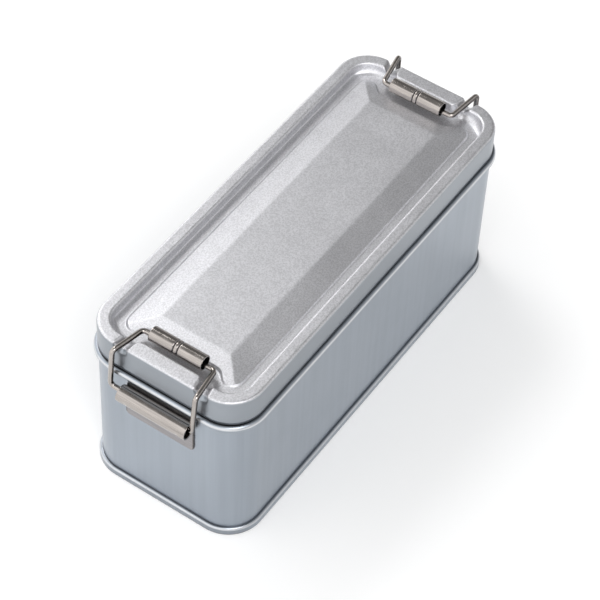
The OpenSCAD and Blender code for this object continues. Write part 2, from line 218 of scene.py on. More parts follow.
def arc(cx, cy, r, start, end, steps):
    """Points on a circle from one angle to another, in degrees."""
    a = np.radians(np.linspace(start, end, steps + 1))
    return [(cx + r * math.cos(t), cy + r * math.sin(t)) for t in a]


def run(a, b, steps):
    """Points along a straight line, without its first point."""
    return [
        (a[0] + (b[0] - a[0]) * k / steps, a[1] + (b[1] - a[1]) * k / steps)
        for k in range(1, steps + 1)
    ]


def smooth(t):
    """An eased step from 0 to 1."""
    t = np.clip(t, 0.0, 1.0)
    return t * t * (3 - 2 * t)


def grid_faces(rows, cols, closed_rows, closed_cols):
    """Quads of a grid whose vertices are numbered row by row."""
    i = np.arange(rows if closed_rows else rows - 1)
    j = np.arange(cols if closed_cols else cols - 1)
    i, j = (a.ravel() for a in np.meshgrid(i, j, indexing="ij"))
    i2, j2 = (i + 1) % rows, (j + 1) % cols
    return np.stack([i * cols + j, i * cols + j2, i2 * cols + j2, i2 * cols + j], 1)


def make_piece(name, points, faces, body, material, sharp=35.0):
    """A smooth-shaded mesh that rides on one body of the frame."""
    mesh = bpy.data.meshes.new(name)
    mesh.from_pydata(np.asarray(points, float).reshape(-1, 3).tolist(), [], [list(f) for f in faces])
    mesh.validate()
    mesh.polygons.foreach_set("use_smooth", [True] * len(mesh.polygons))
    mesh.set_sharp_from_angle(angle=math.radians(sharp))
    mesh.materials.append(material)
    piece = bpy.data.objects.new(name, mesh)
    bpy.context.scene.collection.objects.link(piece)
    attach(piece, body)
    return piece


def mark_zone(piece, values):
    """Stores the zone on each vertex, which the finish reads."""
    layer = piece.data.attributes.new(ZONE, "FLOAT", "POINT")
    layer.data.foreach_set("value", np.asarray(values, np.float32).ravel())


def outline_columns(half_x, half_y, r, side_step, end_step, corner_steps):
    """Columns round a rounded rectangle: a core point and an outward normal for each, counter-clockwise."""
    core, normal = [], []
    hx, hy = half_x - r, half_y - r
    runs = [
        ((hx, -hy), (hx, hy), (1, 0), end_step),
        ((hx, hy), (-hx, hy), (0, 1), side_step),
        ((-hx, hy), (-hx, -hy), (-1, 0), end_step),
        ((-hx, -hy), (hx, -hy), (0, -1), side_step),
    ]
    for k, (a, b, n, step) in enumerate(runs):
        a, b = np.array(a), np.array(b)
        count = max(2, round(np.linalg.norm(b - a) / step))
        for t in np.linspace(0, 1, count + 1):
            core.append(a + (b - a) * t)
            normal.append(n)
        start = math.atan2(n[1], n[0])
        for t in range(1, corner_steps):
            angle = start + math.pi / 2 * t / corner_steps
            core.append(b)
            normal.append((math.cos(angle), math.sin(angle)))
    return np.array(core), np.array(normal)


def row_at(xy, z):
    """A row of vertices at one height, or each at its own height."""
    return np.column_stack([xy, np.broadcast_to(z, len(xy))])


def sweep_points(core, normal, r, profile):
    """A profile of (offset, height) carried round the columns, one row for each profile point."""
    return np.array([row_at(core + normal * (r + u), z) for u, z in profile])


def filleted(points, radii, step):
    """A path through corner points with a rounded bend at each inner one."""
    pts = [Vector(p) for p in points]
    path = [pts[0]]
    for k in range(1, len(pts) - 1):
        a = (pts[k] - pts[k - 1]).normalized()
        b = (pts[k + 1] - pts[k]).normalized()
        turn = a.angle(b)
        trim = radii[k] * math.tan(turn / 2)
        start = pts[k] - a * trim
        inward = (b - a * a.dot(b)).normalized()
        centre = start + inward * radii[k]
        path.extend(spaced(path[-1], start, step))
        steps = max(6, math.ceil(turn * radii[k] / step))
        for t in range(1, steps + 1):
            angle = turn * t / steps
            path.append(centre - inward * radii[k] * math.cos(angle) + a * radii[k] * math.sin(angle))
    path.extend(spaced(path[-1], pts[-1], step))
    return path


def spaced(a, b, step):
    """Points along a straight stretch, without its first point."""
    count = max(1, math.ceil((b - a).length / (4 * step)))
    return [a.lerp(b, t / count) for t in range(1, count + 1)]


def capping(ring, reach, dome):
    """Smaller rings past an end of a tube, each given as a share of the reach and of the radius."""
    place, side, up, along, radius = ring
    return [(place + along * reach * s, side, up, along, radius * w) for s, w in dome]


def tube_mesh(path, radius, sides):
    """A round tube along a path, with slightly domed ends, and how far each vertex faces sideways."""
    tangents = []
    for k in range(len(path)):
        a, b = path[max(0, k - 1)], path[min(len(path) - 1, k + 1)]
        tangents.append((b - a).normalized())
    side = tangents[0].orthogonal().normalized()
    rings = []
    for p, t in zip(path, tangents):
        side = (side - t * side.dot(t)).normalized()
        rings.append((p, side.copy(), t.cross(side), t, radius))
    dome = ((0.18, 0.85), (0.3, 0.55))
    rings = capping(rings[0], -radius, dome)[::-1] + rings + capping(rings[-1], radius, dome)
    points, flank = [], []
    for p, s, c, _, r in rings:
        for k in range(sides):
            a = 2 * math.pi * k / sides
            outward = s * math.cos(a) + c * math.sin(a)
            points.append(p + outward * r)
            flank.append(abs(outward.y))
    faces = [list(f) for f in grid_faces(len(rings), sides, False, True)]
    faces.append(list(range(sides))[::-1])
    top = (len(rings) - 1) * sides
    faces.append(list(range(top, top + sides)))
    return [tuple(p) for p in points], faces, np.array(flank)


# Finishes


def new_group(name, inputs, outputs):
    """A shader node group with named sockets; returns it with its two end nodes."""
    group = bpy.data.node_groups.new(name, "ShaderNodeTree")
    for label, kind, default in inputs:
        socket = group.interface.new_socket(name=label, in_out="INPUT", socket_type=kind)
        if default is not None:
            socket.default_value = default
    for label, kind in outputs:
        group.interface.new_socket(name=label, in_out="OUTPUT", socket_type=kind)
    return group, group.nodes.new("NodeGroupInput"), group.nodes.new("NodeGroupOutput")


def add(tree, kind, values=(), **settings):
    """A node with its settings, and its inputs set or linked by name or place."""
    node = tree.nodes.new(kind)
    for key, value in settings.items():
        setattr(node, key, value)
    for key, value in dict(values).items():
        socket = node.inputs[key]
        if isinstance(value, bpy.types.NodeSocket):
            tree.links.new(value, socket)
        else:
            socket.default_value = value
    return node


def maths(tree, operation, a, b=None, c=None, clamp=False):
    """The outcome of one sum on up to three values."""
    values = {k: v for k, v in enumerate((a, b, c)) if v is not None}
    return add(tree, "ShaderNodeMath", values, operation=operation, use_clamp=clamp).outputs[0]


def remap(tree, value, low, high, to_low=0.0, to_high=1.0):
    """A value eased from one range to another."""
    node = add(
        tree,
        "ShaderNodeMapRange",
        {"Value": value, "From Min": low, "From Max": high, "To Min": to_low, "To Max": to_high},
        interpolation_type="SMOOTHSTEP",
    )
    return node.outputs["Result"]


def noise(tree, place, scale, detail, rough):
    """A noise pattern, from 0 to 1."""
    values = {"Vector": place, "Scale": scale, "Detail": detail, "Roughness": rough}
    return add(tree, "ShaderNodeTexNoise", values).outputs["Fac"]


def grain_group():
    """Fine pearly grain of a sprayed or blasted sheet: a height and a light-dark mask."""
    group, given, made = new_group(
        "metal_grain",
        [
            ("Vector", "NodeSocketVector", None),
            ("Grain", "NodeSocketFloat", 1.0),
            ("Blotch", "NodeSocketFloat", 1.0),
        ],
        [("Height", "NodeSocketFloat"), ("Mask", "NodeSocketFloat")],
    )
    place = given.outputs["Vector"]
    fine = noise(group, place, 3900.0, 2.0, 0.6)
    coarse = noise(group, place, 2100.0, 2.0, 0.55)
    blotch = noise(group, place, 160.0, 3.0, 0.5)
    both = maths(group, "MULTIPLY_ADD", coarse, 0.7, maths(group, "MULTIPLY", fine, 0.5))
    height = maths(group, "MULTIPLY", both, given.outputs["Grain"])
    sparkle = remap(group, both, 0.50, 0.70)
    patch = maths(group, "MULTIPLY", remap(group, blotch, 0.3, 0.7), given.outputs["Blotch"])
    mask = maths(group, "MULTIPLY_ADD", patch, 0.25, maths(group, "MULTIPLY", sparkle, 0.75), clamp=True)
    group.links.new(height, made.inputs["Height"])
    group.links.new(mask, made.inputs["Mask"])
    return group


def streak_group():
    """Long faint lines left by drawing or rolling, along one axis of the stretched vector."""
    group, given, made = new_group(
        "drawn_streaks",
        [
            ("Vector", "NodeSocketVector", None),
            ("Stretch", "NodeSocketVector", (1.0, 1.0, 0.05)),
            ("Scale", "NodeSocketFloat", 600.0),
        ],
        [("Height", "NodeSocketFloat"), ("Mask", "NodeSocketFloat")],
    )
    stretched = add(
        group,
        "ShaderNodeVectorMath",
        {0: given.outputs["Vector"], 1: given.outputs["Stretch"]},
        operation="MULTIPLY",
    )
    lines = noise(group, stretched.outputs[0], given.outputs["Scale"], 3.0, 0.6)
    group.links.new(lines, made.inputs["Height"])
    group.links.new(remap(group, lines, 0.32, 0.68), made.inputs["Mask"])
    return group


def wear_group():
    """Soft smudges left by handling."""
    group, given, made = new_group(
        "handling_wear",
        [("Vector", "NodeSocketVector", None), ("Scale", "NodeSocketFloat", 60.0)],
        [("Smudge", "NodeSocketFloat")],
    )
    cloud = noise(group, given.outputs["Vector"], given.outputs["Scale"], 4.0, 0.62)
    group.links.new(remap(group, cloud, 0.4, 0.7), made.inputs["Smudge"])
    return group


EFFECTS = {"metal_grain": grain_group, "drawn_streaks": streak_group, "handling_wear": wear_group}


def effect(tree, name, values):
    """Places a shared effect in a material, made on its first use."""
    group = bpy.data.node_groups.get(name) or EFFECTS[name]()
    return add(tree, "ShaderNodeGroup", values, node_tree=group)


def tinted(tree, colour_value, mask, low, high):
    """A colour that goes from darker to lighter shares of itself with a mask."""
    return add(
        tree,
        "ShaderNodeMix",
        {
            "Factor": mask,
            "A": (*[c * low for c in colour_value], 1.0),
            "B": (*[min(1.0, c * high) for c in colour_value], 1.0),
        },
        data_type="RGBA",
    ).outputs["Result"]


def blended(tree, mask, a, b):
    """One colour that gives way to another with a mask."""
    return add(tree, "ShaderNodeMix", {"Factor": mask, "A": a, "B": b}, data_type="RGBA").outputs["Result"]


def by_zone(tree, shaded, plain, bright):
    """A colour by zone: -1 for painted shade in creases and gaps, 0 on plain sheet, 1 for a painted
    highlight.
    """
    zone = add(tree, "ShaderNodeAttribute", attribute_name=ZONE).outputs["Fac"]
    painted = maths(tree, "MAXIMUM", zone, 0.0)
    painted_shade = maths(tree, "MAXIMUM", maths(tree, "MULTIPLY", zone, -1.0), 0.0)
    return blended(tree, painted_shade, blended(tree, painted, plain, bright), shaded)


def start_metal(name):
    """A material with a metallic shader, and the coordinates that its pattern is fixed to."""
    material = bpy.data.materials.get(name)
    if material:
        return material, None, None, None
    material = bpy.data.materials.new(name)
    material.use_nodes = True
    tree = material.node_tree
    shader = tree.nodes["Principled BSDF"]
    shader.inputs["Metallic"].default_value = 1.0
    place = add(tree, "ShaderNodeTexCoord").outputs["Object"]
    return material, tree, shader, place


def bumped(tree, shader, height, distance, strength):
    """Gives a shader fine relief from a height pattern."""
    bump = add(
        tree, "ShaderNodeBump", {"Height": height, "Distance": distance, "Strength": strength}
    )
    tree.links.new(bump.outputs["Normal"], shader.inputs["Normal"])


def lid_finish():
    """Grained satin silver with a fine pearly speckle."""
    look = bpy.context.scene.tin_finish
    material, tree, shader, place = start_metal("satin_silver_lid")
    if tree:
        grain = effect(tree, "metal_grain", {"Vector": place, "Grain": 1.0, "Blotch": 0.6})
        wear = effect(tree, "handling_wear", {"Vector": place, "Scale": 45.0})
        zone = add(tree, "ShaderNodeAttribute", attribute_name=ZONE).outputs["Fac"]
        top = tinted(tree, look.lid, grain.outputs["Mask"], 0.84, 1.14)
        # The skirt's darker tone is partly painted shade on the upright sheet
        skirt = tinted(tree, look.skirt, wear.outputs["Smudge"], 0.97, 1.03)
        tree.links.new(blended(tree, zone, top, skirt), shader.inputs["Base Color"])
        rough = maths(tree, "MULTIPLY_ADD", wear.outputs["Smudge"], 0.05, look.lid_gloss)
        rough = maths(tree, "MULTIPLY_ADD", zone, look.wall_gloss - look.lid_gloss, rough)
        tree.links.new(rough, shader.inputs["Roughness"])
        height = maths(tree, "MULTIPLY", grain.outputs["Height"], remap(tree, zone, 0.0, 1.0, 1.0, 0.1))
        bumped(tree, shader, height, 0.00006, 0.55)
    return material


def wall_finish():
    """Smooth satin tinplate with faint upright drawing lines."""
    look = bpy.context.scene.tin_finish
    material, tree, shader, place = start_metal("satin_tinplate_wall")
    if tree:
        streaks = effect(
            tree, "drawn_streaks", {"Vector": place, "Stretch": (1.0, 1.0, 0.03), "Scale": 420.0}
        )
        wear = effect(tree, "handling_wear", {"Vector": place, "Scale": 38.0})
        # Painted shade in the gaps and a painted highlight on the bead and seam, chosen by the zone
        shaded = tinted(tree, look.shade, wear.outputs["Smudge"], 0.8, 1.2)
        plain = tinted(tree, look.wall, streaks.outputs["Mask"], 0.97, 1.03)
        bright = tinted(tree, look.bright, streaks.outputs["Mask"], 0.95, 1.03)
        tree.links.new(by_zone(tree, shaded, plain, bright), shader.inputs["Base Color"])
        rough = maths(tree, "MULTIPLY_ADD", wear.outputs["Smudge"], 0.05, look.wall_gloss)
        tree.links.new(rough, shader.inputs["Roughness"])
        bumped(tree, shader, streaks.outputs["Height"], 0.00003, 0.25)
    return material


def clasp_finish(name, stretch):
    """Warm nickel with rolling lines, duller on the plates as painted shade, and dark painted shade in
    creases, gaps and on the wires' flanks.
    """
    look = bpy.context.scene.tin_finish
    material, tree, shader, place = start_metal(name)
    if tree:
        streaks = effect(tree, "drawn_streaks", {"Vector": place, "Stretch": stretch, "Scale": 1500.0})
        wear = effect(tree, "handling_wear", {"Vector": place, "Scale": 260.0})
        shades = ((look.tarnish, 0.8, 1.2), (look.plate, 0.88, 1.08), (look.clasp, 0.86, 1.08))
        tones = [tinted(tree, tone, streaks.outputs["Mask"], low, high) for tone, low, high in shades]
        tree.links.new(by_zone(tree, *tones), shader.inputs["Base Color"])
        rough = maths(tree, "MULTIPLY_ADD", wear.outputs["Smudge"], 0.10, look.clasp_gloss)
        tree.links.new(rough, shader.inputs["Roughness"])
        bumped(tree, shader, streaks.outputs["Height"], 0.00004, 0.35)
    return material


# Pieces


def wall_profile(sizes):
    """The closed section of the wall, bead, neck and curl, as (offset from the bead, height)."""
    lip = LID_LOW.z - sizes.bead_gap
    bead_z = lip - sizes.bead
    wall, sheet, neck = -sizes.inset, sizes.sheet, -sizes.neck_inset
    top = WALL_HIGH.z - sizes.curl
    curl_x = neck - sizes.curl
    path = [(wall, sizes.foot)]
    under = bead_z - sizes.bead - sizes.under_bead
    path += run(path[-1], (wall, under), 24)
    path += arc(-sizes.bead, bead_z, sizes.bead, -88, 90, 24)
    path += run(path[-1], (neck, lip), 2)
    path += run(path[-1], (neck, top), 6)
    path += arc(curl_x, top, sizes.curl, 0, 180, 14)[1:]
    path += arc(curl_x, top, sizes.curl - 0.85 * sheet, 180, 0, 10)
    path += run(path[-1], (neck - sheet, lip - sheet), 5)
    path += arc(-sizes.bead, bead_z, sizes.bead - sheet, 88, -88, 14)
    path += run(path[-1], (wall - sheet, under), 2)
    path += run(path[-1], (wall - sheet, sizes.foot), 24)
    return path


# Zones across the rounded bead and the seam's lip, by the angle in degrees above their outermost line:
# above 0 a painted highlight, below 0 painted shade
BEAD_ZONES = ((2, 14, 36, 50, 70, 84), (0, 1, 1, 0, 0, -1))
LIP_ZONES = ((0, 12, 44, 60, 78, 92), (-0.3, 0.8, 0.8, 0.1, -0.4, -1))
FOLD_ZONES = (-0.8, -0.3)  # painted shade at the foot of the fold and above it
EDGE_SHADE_ZONE = -0.8  # painted shade along the cut edges of a hinge plate
NECK_FADE = (0.3 * MM, 1.2 * MM)  # heights above the bead between which the shade on the neck ends
SIDE_RELIEF = 0.65  # the share of the shade taken off along the long sides


def soft_on_sides(share, normal):
    """The zones with their shaded part held back along the two long sides."""
    long_side = smooth((np.abs(normal[:, 1]) - 0.8) / 0.2)
    return np.where(share < 0, share * (1 - SIDE_RELIEF * long_side), share)


def wall_zone(sizes, u, z):
    """Zone of the wall: a painted highlight on the bead's shoulder, painted shade on top of it and under
    the lid.
    """
    lip = LID_LOW.z - sizes.bead_gap
    if z < lip - 2 * sizes.bead:
        return 0.0
    angle = math.degrees(math.atan2(z - lip + sizes.bead, u + sizes.bead))
    on_bead = float(np.interp(angle, *BEAD_ZONES))
    above = float(np.interp(z - lip, NECK_FADE, (0, 1)))
    return on_bead * (1 - above)


class TIN_OT_wall(bpy.types.Operator):
    """Makes the wall with its bead, neck and curled edge"""

    bl_idname = "tin.wall"
    bl_label = "Wall"
    bl_options = {"REGISTER", "UNDO"}

    def execute(self, context):
        sizes = context.scene.tin_wall_sizes
        half_x, half_y = WALL_HIGH.x, WALL_HIGH.y
        core, normal = outline_columns(half_x, half_y, sizes.corner, **WALL_COLUMNS)
        profile = wall_profile(sizes)
        points = sweep_points(core, normal, sizes.corner, profile)
        faces = grid_faces(*points.shape[:2], True, True)
        wall = make_piece("tin_wall", points, faces, "tin", wall_finish())
        # Painted highlight on the bead's shoulder, painted shade in the gap under the lid
        share = np.repeat([[wall_zone(sizes, u, z)] for u, z in profile], len(core), axis=1)
        share = soft_on_sides(share, normal)
        # Painted light: the wall is painted bright behind a hinge tube, which mirrors it, where the crevice
        # itself is shaded
        x, y, z = np.moveaxis(np.abs(points), 2, 0)
        behind_tube = (y < PLATE_HIGH.y) & (x > half_x - 3 * MM)
        behind_tube &= (z > PLATE_LOW.z) & (z < PLATE_HIGH.z + 0.5 * MM)
        mark_zone(wall, np.where(behind_tube, 1.0, share))
        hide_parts("body_wall")
        return {"FINISHED"}


def seam_profile(sizes):
    """The outer face of the bottom sheet in section: lip, face, fold, and in under the recessed bottom."""
    face = -sizes.seam_inset
    inside = face - sizes.fold_width
    path = [(-sizes.inset + 0.02 * MM, sizes.seam - 0.35 * MM)]
    path += arc(face - sizes.lip, sizes.seam - sizes.lip, sizes.lip, 96, 0, 14)
    path += run(path[-1], (face, sizes.fold), 6)
    path += arc(face - sizes.fold, sizes.fold, sizes.fold, 0, -90, 8)[1:]
    path += arc(inside + sizes.fold, sizes.fold, sizes.fold, -90, -180, 8)
    path += run(path[-1], (inside, sizes.recess), 4)
    edge = inside - sizes.step_margin
    path += run(path[-1], (edge, sizes.recess), 8)
    path += run(path[-1], (edge - sizes.step, sizes.recess + sizes.step), 4)
    return path


def seam_zone(sizes, u, z):
    """Zone of the seam: a painted highlight on the lip's shoulder, painted shade above it and on the fold
    below.
    """
    centre = (-sizes.seam_inset - sizes.lip, sizes.seam - sizes.lip)
    if u < -sizes.inset:
        return 0.0
    if z < centre[1]:
        return float(np.interp(z, (sizes.fold / 2, sizes.fold * 1.5), FOLD_ZONES))
    angle = math.degrees(math.atan2(z - centre[1], u - centre[0]))
    return float(np.interp(angle, *LIP_ZONES))


class TIN_OT_bottom(bpy.types.Operator):
    """Makes the recessed bottom and the folded seam that the tin stands on"""

    bl_idname = "tin.bottom"
    bl_label = "Bottom"
    bl_options = {"REGISTER", "UNDO"}

    def execute(self, context):
        sizes = context.scene.tin_wall_sizes
        half_x, half_y = WALL_HIGH.x, WALL_HIGH.y
        core, normal = outline_columns(half_x, half_y, sizes.corner, **WALL_COLUMNS)
        profile = seam_profile(sizes)
        rows = sweep_points(core, normal, sizes.corner, profile)
        panel = to_ridge(rows[-1], 8)
        points = np.concatenate([rows, panel])
        faces = grid_faces(*points.shape[:2], False, True)
        bottom = make_piece("tin_bottom", points, faces, "tin", wall_finish())
        # Painted highlight on the seam's lip, painted shade in the line above it and on the fold
        share = [seam_zone(sizes, u, z) for u, z in profile] + [0.0] * len(panel)
        mark_zone(bottom, soft_on_sides(np.repeat([[s] for s in share], len(core), axis=1), normal))
        merge_close(bottom, WELD)
        thicken(bottom, sizes.sheet * 0.8)
        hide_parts("bottom_panel")
        return {"FINISHED"}


def to_ridge(ring, steps):
    """Level rows that close a rounded rectangle along its middle line."""
    ridge = ring[:, 0].max() - ring[:, 1].max()
    middle = ring * (0, 0, 1) + np.clip(ring[:, :1], -ridge, ridge) * (1, 0, 0)
    return np.array([ring + (middle - ring) * k / steps for k in range(1, steps + 1)])


PANEL_SMOOTHING = 12  # rounds in which each point of the outline is averaged with its neighbours


def panel_base(core, normal, sizes, px, py, core_x, core_y):
    """The panel's outline with its pockets, and its outward normals, one for each column of the lid."""
    pc = sizes.corner
    cx, cy = px - pc, py - pc
    base = np.column_stack(
        [core[:, 0] / core_x * cx + normal[:, 0] * pc, core[:, 1] / core_y * cy + normal[:, 1] * pc]
    )
    run_len, deep, half = sizes.shoulder, sizes.pocket, sizes.pocket_half
    r = (run_len**2 + deep**2) / (4 * deep)
    y = np.abs(base[:, 1])
    convex = np.sqrt(np.clip(r**2 - np.clip(half + run_len - y, 0, r) ** 2, 0, None)) - r
    hollow = r - deep - np.sqrt(np.clip(r**2 - np.clip(y - half, 0, r) ** 2, 0, None))
    edge = px + np.where(y > half + run_len / 2, convex, hollow)
    edge = np.where(y >= half + run_len, px, np.where(y <= half, px - deep, edge))
    base[:, 0] = np.sign(base[:, 0]) * np.minimum(np.abs(base[:, 0]), edge)
    for _ in range(PANEL_SMOOTHING):
        base = (np.roll(base, 1, 0) + 2 * base + np.roll(base, -1, 0)) / 4
    tangent = np.roll(base, -1, 0) - np.roll(base, 1, 0)
    out = np.column_stack([tangent[:, 1], -tangent[:, 0]])
    out /= np.linalg.norm(out, axis=1)[:, None]
    return base, out


def lower_of(a, b, k):
    """The smaller of two heights, with the crease between them rounded."""
    h = np.clip(0.5 + 0.5 * (b - a) / k, 0, 1)
    return b * (1 - h) + a * h - k * h * (1 - h)


def roof(xy, sizes, px, py, edge_z):
    """Height of the panel: a flat with four sloping faces."""
    k = sizes.crease
    flat = edge_z + sizes.rise
    side = edge_z + (py - np.abs(xy[:, 1])) * sizes.rise / sizes.slope_side
    end = edge_z + (px - np.abs(xy[:, 0])) * sizes.rise / sizes.slope_end
    return lower_of(lower_of(side, end, k), np.full(len(xy), flat), k)


def notch_dip(x, y, notch, splay, sizes):
    """How deep the nearest notch is pressed at each point, from 0 to 1."""
    middle = notch[1] + (np.abs(x) - notch[0]) * splay
    v = (np.abs(y) - middle) / sizes.notch_half
    return np.clip(1 - v * v, 0, None) ** 1.5 * (np.abs(x) > notch[0] - sizes.notch_run)


def rim_profile(sizes, floor_z):
    """The section of skirt and rim, as (offset from the skirt, height)."""
    top, inner = LID_HIGH.z, sizes.inner - sizes.rim
    path = [(0.0, LID_LOW.z)]
    path += run(path[-1], (0.0, floor_z), 6)
    path += run(path[-1], (0.0, top - sizes.outer), 8)
    path += arc(-sizes.outer, top - sizes.outer, sizes.outer, 0, 90, 10)[1:]
    path += run(path[-1], (inner, top), 8)
    path += arc(inner, top - sizes.inner, sizes.inner, 90, 180, 12)[1:]
    return path


def groove_wall(sizes, core, normal, r, floor_z, wall_top):
    """The groove's outer wall, whose foot is rounded more in the corners, past the wires."""
    past, ease = 10.5 * MM, 4.0 * MM
    beyond_wire = smooth((np.abs(core[:, 1]) - past) / ease)
    corner = smooth((np.abs(normal[:, 0]) - 0.2) / 0.5) * beyond_wire
    foot = sizes.foot + (sizes.foot_corner - sizes.foot) * corner
    rows = []
    for t in (0.25, 0.5, 0.75, 1.0):
        rows.append((np.zeros(len(foot)), wall_top + (floor_z + foot - wall_top) * t))
    for t in np.radians(np.linspace(0, 90, 11)[1:]):
        rows.append((-foot * (1 - math.cos(t)), floor_z + foot * (1 - math.sin(t))))
    return np.array([row_at(core + normal * (r - sizes.rim + u)[:, None], z) for u, z in rows])


def widen_rim(sizes, core, normal, profile, rim, foot_rows):
    """Lets the rim reach further in between the wires, towards the roller."""
    ease, fixed = 1.2 * MM, 1.5 * MM
    reach = sizes.tongue * smooth((sizes.tongue_half + ease - np.abs(core[:, 1])) / ease)
    reach *= (np.abs(normal[:, 0]) > 0.999) * np.sign(core[:, 0])
    for (u, _), row in zip(profile, rim):
        row[:, 0] -= reach * np.clip((-u - fixed) / (sizes.rim - sizes.inner - fixed), 0, 1)
    foot_rows[:, :, 0] -= reach


def press_notches(sizes, clasp, profile, rim, foot_rows, floor_z):
    """Presses the rim down where the wires cross it, and the skirt in below that."""
    roller_x = (ROLLER_HIGH.x + ROLLER_LOW.x) / 2
    bend_x = LID_HIGH.x + sizes.inset + clasp.bend_out
    splay = (clasp.bend_half - clasp.elbow_half) / (bend_x - roller_x)
    notch_x = LID_HIGH.x - sizes.rim / 2
    notch = (notch_x, clasp.elbow_half + splay * (notch_x - roller_x))
    for k, row in enumerate([*rim, *foot_rows]):
        dip = notch_dip(row[:, 0], row[:, 1], notch, splay, sizes)
        above = np.clip(row[:, 2] - floor_z, 0, None)
        row[:, 2] -= above * dip * sizes.notch_depth / sizes.groove
        if k < len(profile) and profile[k][0] > -sizes.outer - 0.5 * MM:
            row[:, 0] -= np.sign(row[:, 0]) * dip * sizes.flute * smooth(above / sizes.groove)


def panel_rows(sizes, start, base, out, px, py, floor_z):
    """Rows over the groove's floor, the panel's edge, the sloping faces and the flat."""
    edge_z = floor_z + sizes.edge
    foot, inside, margin = sizes.panel_foot, 1.5 * MM, 1.2 * MM
    end = base + out * foot
    rows = [row_at(start + (end - start) * t, floor_z) for t in (0.25, 0.5, 0.75)]
    for d in np.concatenate([np.linspace(foot, -foot, 13), np.linspace(-0.8 * MM, -inside, 3)]):
        xy = base + out * d
        rise = smooth((foot - d) / (2 * foot))
        rows.append(row_at(xy, floor_z + (roof(xy, sizes, px, py, edge_z) - floor_z) * rise))
    start = base - out * inside
    flat = np.array([px - sizes.slope_end - margin, py - sizes.slope_side - margin])
    target = np.clip(start, -flat, flat)
    for t in np.linspace(0, 1, 25)[1:]:
        xy = start + (target - start) * t
        rows.append(row_at(xy, roof(xy, sizes, px, py, edge_z)))
    return np.concatenate([rows, to_ridge(row_at(target, edge_z + sizes.rise), 4)])


class TIN_OT_lid(bpy.types.Operator):
    """Makes the pressed lid: skirt, rim with notches, groove and panel with pockets"""

    bl_idname = "tin.lid"
    bl_label = "Lid"
    bl_options = {"REGISTER", "UNDO"}

    def execute(self, context):
        sizes, wall = context.scene.tin_lid_sizes, context.scene.tin_wall_sizes
        half_x, half_y, top = LID_HIGH
        floor_z = top - sizes.groove
        r = wall.corner - sizes.inset
        core, normal = outline_columns(half_x, half_y, r, **LID_COLUMNS)
        profile = rim_profile(sizes, floor_z)
        rim = sweep_points(core, normal, r, profile)
        foot_rows = groove_wall(sizes, core, normal, r, floor_z, profile[-1][1])
        widen_rim(sizes, core, normal, profile, rim, foot_rows)
        press_notches(sizes, context.scene.tin_clasp_sizes, profile, rim, foot_rows, floor_z)
        px, py = half_x - sizes.rim - sizes.groove_end, half_y - sizes.rim - sizes.groove_side
        base, out = panel_base(core, normal, sizes, px, py, half_x - r, half_y - r)
        panel = panel_rows(sizes, foot_rows[-1][:, :2], base, out, px, py, floor_z)
        points = np.concatenate([rim, foot_rows, panel])
        faces = grid_faces(*points.shape[:2], False, True)
        lid = make_piece("pressed_lid", points, faces, "lid", lid_finish(), 50)
        # The skirt's plain finish, whose darker tone is partly painted shade on the upright sheet, ends on
        # the rim's outer rounding
        share = np.zeros(points.shape[:2])
        for k, (u, z) in enumerate(profile):
            if u > -sizes.outer:
                share[k] = 1 - smooth((z - (top - 0.75 * sizes.outer)) / (0.6 * sizes.outer))
        mark_zone(lid, share)
        merge_close(lid, WELD)
        thicken(lid, wall.sheet)
        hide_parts("lid")
        return {"FINISHED"}


def merge_close(piece, distance):
    """Welds vertices that meet, as they do along a ridge, and drops the faces that close up there."""
    mesh = bmesh.new()
    mesh.from_mesh(piece.data)
    bmesh.ops.remove_doubles(mesh, verts=mesh.verts, dist=distance)
    bmesh.ops.dissolve_degenerate(mesh, edges=mesh.edges, dist=distance / 4)
    bmesh.ops.recalc_face_normals(mesh, faces=mesh.faces)
    mesh.to_mesh(piece.data)
    mesh.free()


def thicken(piece, thickness):
    """Gives an open surface its sheet, towards the inside."""
    sheet = piece.modifiers.new("Sheet", "SOLIDIFY")
    sheet.thickness = thickness
    sheet.offset = -1.0


def rolled_faces(rows, around):
    """Faces of a bent sheet: its outer and inner side, and a strip of quads at each end."""
    faces = [list(f) for f in grid_faces(rows, around, False, True)]
    for row in (0, rows - 1):
        for k in range(around // 2 - 1):
            quad = [row * around + v for v in (k, k + 1, around - 2 - k, around - 1 - k)]
            faces.append(quad if row else quad[::-1])
    return faces


def hinge_section(sizes):
    """Middle line of the plate and its tube: distance from the wall, height from the tube's centre."""
    half = sizes.plate_sheet / 2
    r = sizes.tube / 2 - half
    line = [(half, -sizes.plate_drop)]
    line += run(line[-1], (half, 0.0), 20)
    line += arc(sizes.tube / 2, 0.0, r, 180, -150, 56)[1:]
    return np.array(line)


def offset_line(line, distance):
    """The line moved sideways by a distance, by its own normals."""
    step = np.gradient(line, axis=0)
    n = np.column_stack([step[:, 1], -step[:, 0]])
    return line + n / np.linalg.norm(n, axis=1)[:, None] * distance


